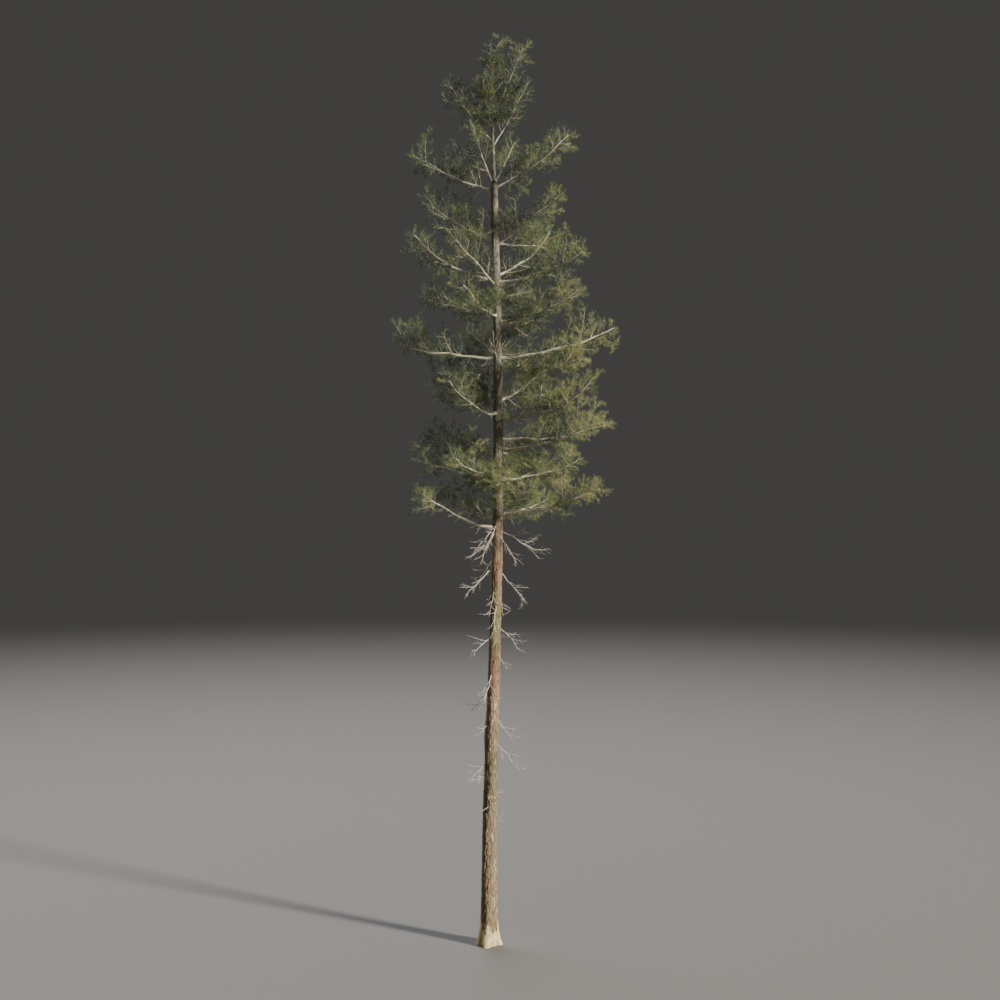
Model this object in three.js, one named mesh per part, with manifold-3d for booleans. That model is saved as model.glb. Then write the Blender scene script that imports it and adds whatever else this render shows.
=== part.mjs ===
// A tall forest pine: a bare, slightly leaning trunk with a flared foot, dead limbs on its
// lower half, and a narrow open crown of boughs that sweep out and turn up at their tips.
// Millimetres, +Z up. The origin is the middle of the flat cut at ground level.
// +X is east and +Y is north. A heading of 0 points east and one of 90 points north.
import * as THREE from 'three';
import Module from 'manifold-3d';

const wasm = await Module();
wasm.setup();

const METRE = 1000;
const SEAT_GAP = 0.3; // pieces that meet keep this much air between them
const CLEARANCE = 1; // twigs of one mass keep at least this far from every other piece
const UP = new THREE.Vector3(0, 0, 1);
const radians = THREE.MathUtils.degToRad;
const { smoothstep } = THREE.MathUtils;

// ---------- a scatter that is the same on every run ----------

/** A number from low to high for a pair of whole numbers. */
function scatter(low, high, a, b) {
  const value = Math.sin(a * 12.9898 + b * 78.233) * 43758.5453;
  return low + (high - low) * (value - Math.floor(value));
}

// ---------- skins: stacks of rings closed into one solid ----------

const mean = (points) => points
  .reduce((sum, p) => sum.add(p), new THREE.Vector3())
  .divideScalar(points.length);

/** Two directions square to a third: level, and as near upright as it can be. */
function squareTo(along) {
  const across = new THREE.Vector3().crossVectors(UP, along);
  if (across.lengthSq() < 1e-6) across.set(0, 1, 0);
  across.normalize();
  return [across, new THREE.Vector3().crossVectors(along, across).normalize()];
}

/** A ring of points round a centre, square to a direction, with its first point underneath. */
function ring(centre, along, radius, sides) {
  const [across, top] = squareTo(along);
  return Array.from({ length: sides }, (_, i) => {
    const turn = (i / sides) * 2 * Math.PI - Math.PI / 2;
    return centre
      .clone()
      .addScaledVector(across, Math.cos(turn) * radius)
      .addScaledVector(top, Math.sin(turn) * radius);
  });
}

/**
 * Closes a stack of rings into one solid, from a flat foot to a flat end or to a point.
 * peakOf gives the point that the quad above a ring's side is drawn out to, if any.
 */
function skin(rings, { point = null, peakOf = () => null } = {}) {
  const sides = rings[0].length;
  const last = rings.length - 1;
  const points = rings.flat();
  const faces = [];
  const corner = (level, side) => level * sides + (side % sides);
  const addPoint = (p) => points.push(p) - 1;

  for (let level = 0; level < last; level += 1) {
    for (let side = 0; side < sides; side += 1) {
      const [a, b] = [corner(level, side), corner(level, side + 1)];
      const [c, d] = [corner(level + 1, side + 1), corner(level + 1, side)];
      const peak = peakOf(level, side, mean([a, b, c, d].map((i) => points[i])));
      if (peak) {
        const tip = addPoint(peak);
        faces.push([a, b, tip], [b, c, tip], [c, d, tip], [d, a, tip]);
      } else {
        faces.push([a, b, c], [a, c, d]);
      }
    }
  }
  const foot = addPoint(mean(rings[0]));
  const end = addPoint(point ?? mean(rings[last]));
  for (let side = 0; side < sides; side += 1) {
    faces.push([corner(0, side + 1), corner(0, side), foot]);
    faces.push([corner(last, side), corner(last, side + 1), end]);
  }
  return new wasm.Manifold(new wasm.Mesh({
    numProp: 3,
    vertProperties: new Float32Array(points.flatMap((p) => p.toArray())),
    triVerts: new Uint32Array(faces.flat()),
  }));
}

// ---------- the trunk ----------

const TRUNK_TOP = 24.3 * METRE;
const TRUNK_SIDES = 20;
const STEM_RADIUS = 204; // of the plain tapering stem, carried down to the ground
const STEM_TAPER = 5.06 / METRE; // radius lost for each millimetre of height
const BUTT_SWELL = 45; // the butt's extra girth at the ground
const BUTT_HEIGHT = 5.5 * METRE;
const OLD_TOP = 20.95 * METRE; // where the first leader was lost and a thinner one took over
const LEADER_RADIUS = 58;
const LEADER_TAPER = 14 / METRE;
const FLARE_HEIGHT = 0.8 * METRE;
const FLARE_SKIRT = 12; // how far the foot stands out between the root ridges
const FLARE_RIDGE = 118; // and how much further on a ridge
const RIDGE_HEADINGS = [0, 72, 126, 198, 252];
const RIDGE_SPREAD = radians(30);
const LEAN_EAST = 245; // the stem drifts east as it climbs, then part of the way back
const LEAN_BACK = 160;
const LEAN_NORTH = 90;

function stemRadius(z) {
  const butt = BUTT_SWELL * Math.max(0, 1 - z / BUTT_HEIGHT) ** 2;
  const old = STEM_RADIUS - STEM_TAPER * z + butt;
  const leader = LEADER_RADIUS - LEADER_TAPER * (z - OLD_TOP);
  return old + (leader - old) * smoothstep(z, OLD_TOP - 0.12 * METRE, OLD_TOP + 0.18 * METRE);
}

function stemCentre(z) {
  const east = LEAN_EAST * smoothstep(z, 1.5 * METRE, 13 * METRE)
    - LEAN_BACK * smoothstep(z, 15 * METRE, TRUNK_TOP);
  const north = LEAN_NORTH * Math.sin((z / TRUNK_TOP) * 2 * Math.PI) * (z / TRUNK_TOP);
  return new THREE.Vector3(east, north, z);
}

/** How far the foot stands out from the stem, at a height and a heading. */
function flare(z, heading) {
  const onRidge = RIDGE_HEADINGS.reduce((most, ridge) => {
    const away = Math.acos(Math.cos(heading - radians(ridge)));
    return Math.max(most, 1 - away / RIDGE_SPREAD);
  }, 0);
  return Math.max(0, 1 - z / FLARE_HEIGHT) ** 2.2 * (FLARE_SKIRT + FLARE_RIDGE * onRidge);
}

function trunk(extra = 0) {
  const foot = [0, 0.07, 0.18, 0.34, 0.54, 0.8, 1.6];
  const stem = Array.from({ length: 10 }, (_, i) => 3 + i * 1.9);
  const leader = [20.83, 21.13, 22.4, 23.5, TRUNK_TOP / METRE];
  return skin([...foot, ...stem, ...leader].map((metres) => {
    const centre = stemCentre(metres * METRE);
    return Array.from({ length: TRUNK_SIDES }, (_, i) => {
      const heading = (i / TRUNK_SIDES) * 2 * Math.PI;
      const radius = stemRadius(centre.z) + flare(centre.z, heading) + extra;
      const out = new THREE.Vector3(Math.cos(heading), Math.sin(heading), 0);
      return out.multiplyScalar(radius).add(centre);
    });
  }));
}

// ---------- limbs ----------

const BOUGH_SIDES = 5;
const DEAD_LIMB_SIDES = 4;
const TWIG_SIDES = 3;
const START = 0.02; // limbs are made from just off the trunk's middle, then cut clear of it

/**
 * The centre line of a limb: it leaves the trunk's middle on its heading, its slope changes
 * evenly from its first pitch to its last, and it sweeps a little to one side.
 */
function limbLine({ height, heading, reach, pitch, sweep }) {
  const start = stemCentre(height * METRE);
  const [first, last] = pitch.map((p) => Math.tan(radians(p)));
  return (share) => {
    const bearing = radians(heading + sweep * share);
    const out = reach * METRE * share;
    const climb = reach * METRE * (first * share + ((last - first) * share ** 2) / 2);
    return new THREE.Vector3(Math.cos(bearing) * out, Math.sin(bearing) * out, climb).add(start);
  };
}

/** A side twig's line: straight out on its own direction, then curling up. */
function twigLine(start, direction, length, curl) {
  return (share) => start
    .clone()
    .addScaledVector(direction, length * share)
    .addScaledVector(UP, curl * length * share ** 2);
}

const partOf = (line, from, to = 1) => (share) => line(from + (to - from) * share);

function directionAt(line, share) {
  const step = 0.01;
  return line(share + step).sub(line(share - step)).normalize();
}

function lengthOf(line) {
  const stops = Array.from({ length: 9 }, (_, i) => line(i / 8));
  return stops.slice(1).reduce((sum, p, i) => sum + p.distanceTo(stops[i]), 0);
}

/** A limb's radius at a share of its reach. */
const limbRadius = ({ reach, girth = 1 }, share) => girth * (9 + 11.5 * reach) * (1 - 0.82 * share);

function ringsOn(line, radiusAt, shares, sides, gap) {
  return shares.map((share, i) => {
    const along = directionAt(line, share);
    const centre = line(share).addScaledVector(along, i === 0 ? gap : 0);
    return ring(centre, along, radiusAt(share), sides);
  });
}

/** A bare tapering length of wood. */
function bareWood(line, radiusAt, { sides, steps, gap = 0 }) {
  const shares = Array.from({ length: steps + 1 }, (_, i) => i / steps);
  return skin(ringsOn(line, radiusAt, shares, sides, gap));
}

// ---------- foliage ----------

const SPRAY_PITCH = 300; // along a twig, from one ring of three sprays to the next
const SPRAY_LENGTH = 410;
const SPRAY_ANGLE = radians(54); // between a spray and its twig
const BARE_STEP = 0.45 * METRE;

/**
 * A twig with needles, from a bare foot to a point. Past bareShare of its length each side
 * of each step is drawn out into a spray of needles that leans forward.
 */
function needleTwig(line, radiusAt, { bareShare, seed, gap = 0 }) {
  const length = lengthOf(line);
  const bareSteps = Math.ceil((length * bareShare) / BARE_STEP);
  const cladSteps = Math.max(1, Math.round((length * (1 - bareShare)) / SPRAY_PITCH));
  const shares = [
    ...Array.from({ length: bareSteps }, (_, i) => (bareShare * i) / bareSteps),
    ...Array.from({ length: cladSteps }, (_, i) => bareShare + ((1 - bareShare) * i) / cladSteps),
  ];
  const rings = ringsOn(line, radiusAt, shares, TWIG_SIDES, gap);
  const peakOf = (level, side, middle) => {
    if (level < bareSteps) return null;
    const axis = mean([mean(rings[level]), mean(rings[level + 1])]);
    const outward = middle.clone().sub(axis).normalize();
    const along = directionAt(line, shares[level]);
    const size = SPRAY_LENGTH * scatter(0.75, 1.15, seed, level * TWIG_SIDES + side)
      * (1 - 0.3 * shares[level]);
    return middle
      .addScaledVector(along, Math.cos(SPRAY_ANGLE) * size)
      .addScaledVector(outward, Math.sin(SPRAY_ANGLE) * size);
  };
  return skin(rings, { point: line(1), peakOf });
}

const TWIGS_PER_METRE = 3.7;
const TWIG_LENGTH = 0.6 * METRE; // on a limb of one metre's reach
const TWIG_GROWTH = 0.62; // and how fast it grows with the reach
const TWIG_SPLIT = [46, 72]; // degrees between a twig and its limb
const TWIG_ROLL = [-65, 80]; // degrees that a twig is turned up out of the level
const TWIG_CURL = 0.18;
const FIRST_TWIG = 0.04; // past the bare part of a limb
const LAST_TWIG = 0.93;

/** The side twigs of a limb, each with its line, its radius along it and its seed. */
function sideTwigs(limb) {
  const { line } = limb;
  const from = limb.bare + FIRST_TWIG;
  const clad = lengthOf(partOf(line, from, LAST_TWIG)) / METRE;
  const count = Math.max(3, Math.round(clad * TWIGS_PER_METRE));
  return Array.from({ length: count }, (_, i) => {
    const share = from + (LAST_TWIG - from) * ((i + scatter(0, 0.6, limb.seed, i)) / count);
    const along = directionAt(line, share);
    const [across, top] = squareTo(along);
    const split = radians(scatter(...TWIG_SPLIT, limb.seed + 1, i));
    const roll = radians(scatter(...TWIG_ROLL, limb.seed + 2, i));
    const hand = i % 2 ? 1 : -1;
    const direction = along.multiplyScalar(Math.cos(split))
      .addScaledVector(across, hand * Math.sin(split) * Math.cos(roll))
      .addScaledVector(top, Math.sin(split) * Math.sin(roll));
    const length = TWIG_LENGTH * limb.reach ** TWIG_GROWTH
      * scatter(0.8, 1.15, limb.seed + 3, i) * (1.12 - 0.6 * share);
    const radius = limbRadius(limb, share) * 0.5;
    return {
      line: twigLine(line(share), direction, length, TWIG_CURL),
      radiusAt: (s) => Math.max(3, radius * (1 - 0.6 * s)),
      seed: limb.seed + 31 + i,
    };
  });
}

// ---------- the live limbs, whorl by whorl, from the lowest to the top ----------
// Each limb is [heading, reach in metres, pitch at the trunk, pitch at the tip, share of the
// reach that is bare, metres above its whorl]. A main bough has 'bough' after these.

const WHORLS = {
  a: { height: 11.75, limbs: [
    [345, 2.85, -3, 31, 0.44, 0.13, 'bough'],
    [197, 2.25, 6, 38, 0.76, -0.27, 'bough'],
    [299, 1.65, 28, 33, 0.35, -0.05],
    [152, 2.1, 4, 22, 0.25, 0],
    [52, 2.4, 0, 22, 0.2, 0.1],
  ] },
  b: { height: 12.9, limbs: [
    [10, 2.2, -2, 26, 0.38, -0.07, 'bough'],
    [172, 2.3, -2, 24, 0.25, 0.03],
    [222, 1.9, 0, 30, 0.3, 0],
    [78, 2.5, -8, 24, 0.25, 0],
    [280, 1.6, -4, 22, 0.25, -0.25],
  ] },
  c: { height: 13.8, limbs: [
    [335, 2.55, -6, 28, 0.4, -0.13, 'bough'],
    [14, 3.1, -2, 17, 0.4, 0.12],
    [150, 2.25, -6, 18, 0.25, -0.1],
    [52, 2.2, -12, 2, 0.2, -0.2],
  ] },
  d: { height: 14.75, limbs: [
    [330, 2.9, -22, 39, 0.38, -0.09, 'bough'],
    [54, 2.2, 16, 32, 0.2, 0.2],
    [238, 2.0, -14, 46, 0.38, -0.09, 'bough'],
    [155, 2.05, 2, 12, 0.2, 0.12],
  ] },
  e: { height: 16.15, limbs: [
    [350, 3.2, 0, 28, 0.3, 0, 'bough'],
    [325, 3.0, -15, 14, 0.3, -0.17],
    [178, 2.8, 0, 17, 0.3, 0, 'bough'],
    [142, 2.3, -12, 0, 0.25, -0.12],
    [98, 2.7, 4, 28, 0.25, 0.1],
  ] },
  f: { height: 17.3, limbs: [
    [352, 2.3, 4, 36, 0.25, -0.24],
    [172, 2.1, 2, 24, 0.3, 0.1],
    [246, 2.0, 2, 30, 0.25, 0],
    [66, 2.1, -8, 16, 0.2, -0.05],
  ] },
  g: { height: 18.3, limbs: [
    [350, 2.45, 0, 32, 0.35, -0.05, 'bough'],
    [42, 2.4, 18, 45, 0.25, 0.12],
    [176, 2.3, 2, 46, 0.4, 0.02, 'bough'],
    [226, 1.8, 34, 26, 0.25, -0.17],
    [74, 2.2, -14, 2, 0.2, -0.05],
  ] },
  h: { height: 19.3, limbs: [
    [344, 1.8, 34, 38, 0.25, -0.08],
    [168, 2.05, 26, 34, 0.25, 0.04],
    [24, 1.75, 2, 2, 0.2, 0],
  ] },
  i: { height: 20.85, limbs: [
    [350, 2.05, 20, 46, 0.25, -0.02],
    [173, 2.25, 16, 31, 0.3, -0.1],
    [208, 0.75, 62, 68, 0.15, 0.05],
    [40, 0.8, 54, 62, 0.15, 0.1],
  ] },
  j: { height: 22.1, limbs: [
    [165, 1.3, 48, 58, 0.25, 0],
    [335, 1.05, 52, 62, 0.15, -0.1],
    [15, 0.9, 62, 69, 0.15, 0.75],
    [235, 0.5, 62, 72, 0.1, 0.4],
  ] },
};

const WINDS = ['east', 'northeast', 'north', 'northwest', 'west', 'southwest', 'south', 'southeast'];

const LIMBS = Object.entries(WHORLS).flatMap(([letter, { height, limbs }]) => limbs.map(
  ([heading, reach, first, last, bare, above, kind], i) => ({
    name: `${letter}_${WINDS[Math.round(heading / 45) % 8]}`,
    line: limbLine({
      height: height + above,
      heading,
      reach,
      pitch: [first, last],
      sweep: scatter(-9, 9, letter.charCodeAt(0), i),
    }),
    reach,
    bare,
    massFrom: kind === 'bough' ? bare : START,
    seed: letter.charCodeAt(0) * 17 + i * 131,
  }),
));

// The leader's own tuft grows on from the tip of the trunk and leans east.
const LEADER_LENGTH = 0.66 * METRE;
const LEADER_LEAN = 0.3 * METRE;
const LEADER = {
  name: 'leader',
  line: (share) => stemCentre(TRUNK_TOP)
    .add(new THREE.Vector3(LEADER_LEAN * share ** 2, 0, LEADER_LENGTH * share)),
  reach: 0.6,
  girth: 0.7,
  bare: 0,
  massFrom: 0,
  seed: 7,
};

// ---------- dead limbs below the crown: [name, height, heading, reach, pitches] ----------

const DEAD_LIMBS = [
  ['high_east', 11.45, 350, 1.25, [-30, -24]],
  ['high_west', 11.55, 195, 0.75, [-40, -54]],
  ['middle_west', 10.45, 190, 0.95, [-38, -46]],
  ['low_south', 7.55, 248, 1.0, [-34, -44]],
  ['low_southeast', 5.65, 330, 0.85, [-38, -48]],
].map(([name, height, heading, reach, pitch], i) => ({
  name,
  line: limbLine({ height, heading, reach, pitch, sweep: 8 }),
  reach,
  girth: 0.9,
  bare: 0.25,
  seed: 400 + i * 19,
}));

// ---------- putting the tree together ----------

const bark = new THREE.MeshStandardMaterial({ color: 0x8a7460, roughness: 0.92, metalness: 0 });
const greyWood = new THREE.MeshStandardMaterial({ color: 0x9a9184, roughness: 0.9, metalness: 0 });
const needles = new THREE.MeshStandardMaterial({ color: 0x566135, roughness: 0.75, metalness: 0 });

const tree = new THREE.Group();
const stemWithGap = trunk(SEAT_GAP);

function addPiece(name, solid, material) {
  const { vertProperties, triVerts } = solid.getMesh();
  const geometry = new THREE.BufferGeometry();
  geometry.setAttribute('position', new THREE.BufferAttribute(vertProperties, 3));
  geometry.setIndex(new THREE.BufferAttribute(triVerts, 1));
  geometry.computeVertexNormals();
  const mesh = new THREE.Mesh(geometry, material);
  mesh.name = name;
  tree.add(mesh);
}

const isClear = (solid, others) => others
  .every((other) => other.minGap(solid, 2 * CLEARANCE) >= CLEARANCE);

const largestBody = (solid) => solid.decompose()
  .reduce((most, body) => (body.volume() > most.volume() ? body : most));

/** Bare wood along a limb from near the trunk's middle out to a share of its reach. */
function limbWood(limb, to, sides, steps) {
  const radiusAt = (share) => limbRadius(limb, START + (to - START) * share);
  return bareWood(partOf(limb.line, START, to), radiusAt, { sides, steps });
}

function bough(limb) {
  return limbWood(limb, limb.massFrom, BOUGH_SIDES, 4).subtract(stemWithGap);
}

function deadLimb(limb) {
  return sideTwigs(limb)
    .map(({ line, radiusAt }) => bareWood(line, radiusAt, { sides: TWIG_SIDES, steps: 2 }))
    .reduce((sum, twig) => sum.add(twig), limbWood(limb, 1, DEAD_LIMB_SIDES, 3))
    .subtract(stemWithGap);
}

/** The stem of a mass: the rest of its limb, with needles past the limb's bare part. */
function massStem(limb) {
  const { line, massFrom, bare, seed } = limb;
  const bareShare = Math.max(0, bare + FIRST_TWIG - massFrom) / (1 - massFrom);
  const radiusAt = (share) => limbRadius(limb, massFrom + (1 - massFrom) * share);
  return needleTwig(partOf(line, massFrom), radiusAt, { bareShare, seed, gap: SEAT_GAP })
    .subtract(stemWithGap);
}

/** A stem with every side twig that keeps clear of the other pieces. */
function grow(stem, limb, others) {
  const twigs = sideTwigs(limb)
    .map(({ line, radiusAt, seed }) => needleTwig(line, radiusAt, { bareShare: 0, seed }))
    .filter((twig) => isClear(twig, others));
  return largestBody(twigs.reduce((sum, twig) => sum.add(twig), stem));
}

const wood = [
  { name: 'trunk', solid: trunk(), material: bark },
  ...LIMBS.filter(({ massFrom }) => massFrom > START).map((limb) => (
    { name: `bough_${limb.name}`, solid: bough(limb), material: bark })),
  ...DEAD_LIMBS.map((limb) => (
    { name: `dead_limb_${limb.name}`, solid: deadLimb(limb), material: greyWood })),
];
wood.forEach(({ name, solid, material }) => addPiece(name, solid, material));

const masses = [...LIMBS, LEADER].map((limb) => ({ limb, solid: massStem(limb) }));
for (const mass of masses) {
  const others = [...wood, ...masses.filter((other) => other !== mass)];
  mass.solid = grow(mass.solid, mass.limb, others.map(({ solid }) => solid));
  addPiece(`foliage_${mass.limb.name}`, mass.solid, needles);
}

export default tree;
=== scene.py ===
"""A forest pine, 25 m tall, as it looks: plated bark over a flared foot, weathered dead limbs
on the lower trunk, and a narrow open crown of boughs, twigs and sprays of needles.
Metres, +Z up, +X east, +Y north. A heading of 0 points east and one of 90 points north."""
import math

import bpy
import numpy as np
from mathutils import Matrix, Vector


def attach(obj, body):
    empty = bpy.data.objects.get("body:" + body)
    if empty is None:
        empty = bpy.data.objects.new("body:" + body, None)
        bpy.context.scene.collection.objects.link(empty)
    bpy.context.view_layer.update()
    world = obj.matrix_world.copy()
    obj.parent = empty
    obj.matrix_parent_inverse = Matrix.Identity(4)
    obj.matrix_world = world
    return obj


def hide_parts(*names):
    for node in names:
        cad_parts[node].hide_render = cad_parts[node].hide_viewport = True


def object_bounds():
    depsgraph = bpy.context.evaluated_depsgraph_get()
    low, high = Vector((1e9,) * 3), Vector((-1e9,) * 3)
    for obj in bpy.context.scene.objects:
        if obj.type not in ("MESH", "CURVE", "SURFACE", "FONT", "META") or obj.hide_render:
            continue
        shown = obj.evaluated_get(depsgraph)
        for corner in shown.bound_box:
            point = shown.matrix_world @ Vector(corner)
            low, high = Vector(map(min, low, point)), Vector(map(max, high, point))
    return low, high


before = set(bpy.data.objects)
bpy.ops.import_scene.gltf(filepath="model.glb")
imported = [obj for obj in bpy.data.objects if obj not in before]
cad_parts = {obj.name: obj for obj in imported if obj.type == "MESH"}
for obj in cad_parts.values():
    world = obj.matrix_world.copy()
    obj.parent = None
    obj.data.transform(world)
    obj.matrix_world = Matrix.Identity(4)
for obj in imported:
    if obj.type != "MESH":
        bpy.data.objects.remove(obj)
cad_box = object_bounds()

# ------------------------ Studio
# A level camera at half the tree's height, a low key light from the south-east, a wide weak
# fill from the north-west, and a plain pale floor that fades into a grey surround.
CAMERA_PLACE = (0.30, -38.3, 12.25)
CAMERA_LENS = 50  # mm, on a sensor 36 mm wide
FARTHEST = 2000  # the camera sees on past the floor's edge
KEY = {"heading": -31, "height": 24, "energy": 8.8, "spread": 6, "colour": "#fffaf0"}
FILL = {"heading": 118, "height": 36, "energy": 3.4, "spread": 60, "colour": "#f2f5ff"}
SURROUND_COLOUR = "#7d7c79"
SURROUND_STRENGTH = 0.28
FLOOR_COLOUR = "#6b6965"
FLOOR_REACH = 900
FLOOR_FADE = (14, 110)  # from this far out the floor fades, until it is the surround's grey


def linear(hex_colour):
    """An sRGB hex colour as linear light with alpha 1. Each channel c is c / 12.92 where it
    is dark, and ((c + 0.055) / 1.055) to the power of 2.4 elsewhere."""
    channels = np.array([int(hex_colour[i:i + 2], 16) for i in (1, 3, 5)]) / 255
    light = np.where(channels <= 0.04045, channels / 12.92, ((channels + 0.055) / 1.055) ** 2.4)
    return (*light, 1.0)


def connect(node, inputs):
    """Gives a node's inputs their values, or links them from a socket or from another node's
    first output."""
    for name, value in inputs.items():
        if isinstance(value, bpy.types.Node):
            value = value.outputs[0]
        if isinstance(value, bpy.types.NodeSocket):
            node.id_data.links.new(value, node.inputs[name])
        else:
            node.inputs[name].default_value = value


def add_node(tree, kind, inputs=(), stops=(), **settings):
    """Adds a node with its settings, its inputs' values or links, and its ramp's stops."""
    node = tree.nodes.new(f"ShaderNode{kind}")
    for name, value in settings.items():
        setattr(node, name, value)
    connect(node, dict(inputs))
    for i, (place, colour) in enumerate(stops):
        elements = node.color_ramp.elements
        element = elements[i] if i < 2 else elements.new(place)
        element.position = place
        element.color = linear(colour)
    return node


def start_material(name, **even):
    """A new material, its node tree and its shader, whose even values are set on its own
    sockets."""
    material = bpy.data.materials.new(name)
    material.use_nodes = True
    shader = material.node_tree.nodes["Principled BSDF"]
    connect(shader, {socket.replace("_", " "): value for socket, value in even.items()})
    return material, material.node_tree, shader


def add_mesh(name, points, triangles, material, smooth=True, **attributes):
    """One mesh of an array of points and an array of triangles, with a number at each point
    for every attribute."""
    mesh = bpy.data.meshes.new(name)
    mesh.vertices.add(len(points))
    mesh.vertices.foreach_set("co", np.asarray(points, np.float32).ravel())
    mesh.loops.add(triangles.size)
    mesh.loops.foreach_set("vertex_index", triangles.astype(np.int32).ravel())
    mesh.polygons.add(len(triangles))
    mesh.polygons.foreach_set("loop_start", np.arange(0, triangles.size, 3, dtype=np.int32))
    mesh.polygons.foreach_set("use_smooth", np.full(len(triangles), smooth))
    for label, values in attributes.items():
        layer = mesh.attributes.new(label, "FLOAT", "POINT")
        layer.data.foreach_set("value", np.asarray(values, np.float32).ravel())
    mesh.update(calc_edges=True)
    mesh.materials.append(material)
    piece = bpy.data.objects.new(name, mesh)
    bpy.context.scene.collection.objects.link(piece)
    return piece


camera = bpy.data.objects.new("camera", bpy.data.cameras.new("camera"))
camera.data.lens = CAMERA_LENS
camera.data.clip_end = FARTHEST
camera.location = CAMERA_PLACE
camera.rotation_euler = (math.pi / 2, 0, 0)
bpy.context.scene.collection.objects.link(camera)
bpy.context.scene.camera = camera

for lamp_name, lamp in {"key": KEY, "fill": FILL}.items():
    light = bpy.data.lights.new(lamp_name, "SUN")
    light.energy = lamp["energy"]
    light.angle = math.radians(lamp["spread"])
    light.color = linear(lamp["colour"])[:3]
    holder = bpy.data.objects.new(lamp_name, light)
    # A sun shines down its own -Z: it is tipped back from upright, then turned to its heading.
    holder.rotation_euler = (0, math.radians(90 - lamp["height"]), math.radians(lamp["heading"]))
    bpy.context.scene.collection.objects.link(holder)

world = bpy.data.worlds.new("surround")
world.use_nodes = True
glow_inputs = {"Color": linear(SURROUND_COLOUR), "Strength": SURROUND_STRENGTH}
connect(world.node_tree.nodes["Background"], glow_inputs)
bpy.context.scene.world = world

# Matt paint on a level board: it has no gloss, so that only light and shadow show on it. Far
# out it gives way to the surround's own glow, and no edge is seen.
floor_finish, tree, shader = start_material(
    "matt_studio_floor", Roughness=0.9, Base_Color=linear(FLOOR_COLOUR))
place = add_node(tree, "TexCoord").outputs["Object"]
distance = add_node(tree, "VectorMath", {0: place}, operation="LENGTH")
fade = add_node(tree, "MapRange", {
    "Value": distance.outputs["Value"], "From Min": FLOOR_FADE[0], "From Max": FLOOR_FADE[1],
}, interpolation_type="SMOOTHSTEP")
both = add_node(tree, "MixShader", {
    0: fade, 1: shader, 2: add_node(tree, "Emission", glow_inputs)})
connect(tree.nodes["Material Output"], {"Surface": both})
corners = FLOOR_REACH * np.array([(-1, -1, 0), (1, -1, 0), (1, 1, 0), (-1, 1, 0)])
add_mesh("floor", corners, np.array([(0, 1, 2), (0, 2, 3)]), floor_finish)

# ------------------------ Trunk
# One living stem of pine wood, leaning a little, under bark that splits into long plates as
# it swells. It flares into root ridges at the foot, where the bark is worn pale, and a
# thinner leader has taken over from the lost first top.
TRUNK_TOP = 24.3
STEM_RADIUS = 0.204
STEM_TAPER = 0.00506  # for each metre of height, as the leader's is
BUTT_SWELL = 0.045
BUTT_HEIGHT = 5.5
OLD_TOP = 20.95
LEADER_RADIUS = 0.058
LEADER_TAPER = 0.014
SHOULDER = (OLD_TOP - 0.12, OLD_TOP + 0.18)  # where the stem narrows into the leader
EAST_DRIFTS = [(0.245, 1.5, 13), (-0.160, 15, TRUNK_TOP)]  # [how far, between which heights]
NORTH_WAVE = 0.090
FLARE_HEIGHT = 0.8
FLARE_FADING = 2.2
FLARE_SKIRT = 0.012
FLARE_RIDGE = 0.118
RIDGE_HEADINGS = [0, 72, 126, 198, 252]
RIDGE_SPREAD = 30  # degrees to each side of a crest
RIDGE_SWAY = 0.35  # radians
GROOVE_DEPTH = 0.028
WORN_HEIGHT = (0.46, 0.30)  # of the worn foot between the ridges, and what their crests add

TRUNK_RINGS = 900
TRUNK_SIDES = 96
FIRST_RING_STEP = 0.013  # rings stand closer at the foot than at the top
PLATES_AROUND = 13
PLATE_HEIGHT = 0.36
PLATE_JITTER = ((0.12, 0.88), (0.05, 0.95))  # where in its cell a plate's middle is
PLATE_STRAY = (0.35, 0.25)  # how far plates' outlines stray, across and up, in plates
STRAY_NOISES = [(1, 9, 0.23, 8), (0.5, 23, 0.11, 9)]  # [share, cells round, cell height, seed]
FLAKE_NOISE = (31, 0.075, 10)  # cells round the stem, their height, and a seed
FURROW_SIDE = (0.02, 0.34, 0.06)  # it starts and ends here, in plates, and its end strays
FURROW_DEPTH = (0.012, 0.003)  # at the foot and at the top
DEPTH_FADES = (16, 1.4)  # to the top's depth at this height, by this power
FOOT_WEAR = (0.6, 0.5)  # the share of the depth that is gone at the ground, and how high up
PLATE_PROUD = 0.25  # of the furrow's depth, as are the next two
PLATE_LIFT = 0.3
FLAKE_LIFT = 0.22
STEM_SWELLS = 0.02  # of its radius
BURL = {"heading": 172, "height": 5.75, "out": 0.030, "tall": 0.42, "wide": 0.16}
KNOT_WHORLS = np.arange(2.3, 11.2, 0.74)  # heights of old limb scars
KNOTS_IN_WHORL = 3
KNOT_STRAY = (0.09, 45)  # metres up or down, and degrees round
KNOT_OUT = 0.016
KNOT_WIDTH = 0.055
KNOT_DIMPLE = 0.7  # of the swelling

# Bark colours up the trunk: [height, plate, furrow]. The furrow colours are darker partly as
# painted shade.
BARK_BANDS = [
    (0.9, "#917e61", "#5a4b38"), (3.0, "#8b7a62", "#54463a"), (5.1, "#7e7659", "#4e4835"),
    (6.2, "#967f68", "#5f4b3d"), (7.4, "#8f735d", "#5a4133"), (9.2, "#827859", "#4d4634"),
    (10.2, "#94745b", "#604230"), (12.5, "#8a816f", "#4e463b"), (16.0, "#878273", "#47433a"),
    (24.0, "#888473", "#4b473d"),
]
FOOT_PLATE = "#dfcd9e"
# The foot's furrow colour is darker partly as painted shade in its cracks and grooves.
FOOT_FURROW_AND_SHADE = "#a9945f"
ALGAE_COLOUR = "#5f6434"
LICHEN_COLOUR = "#a9a893"
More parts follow.
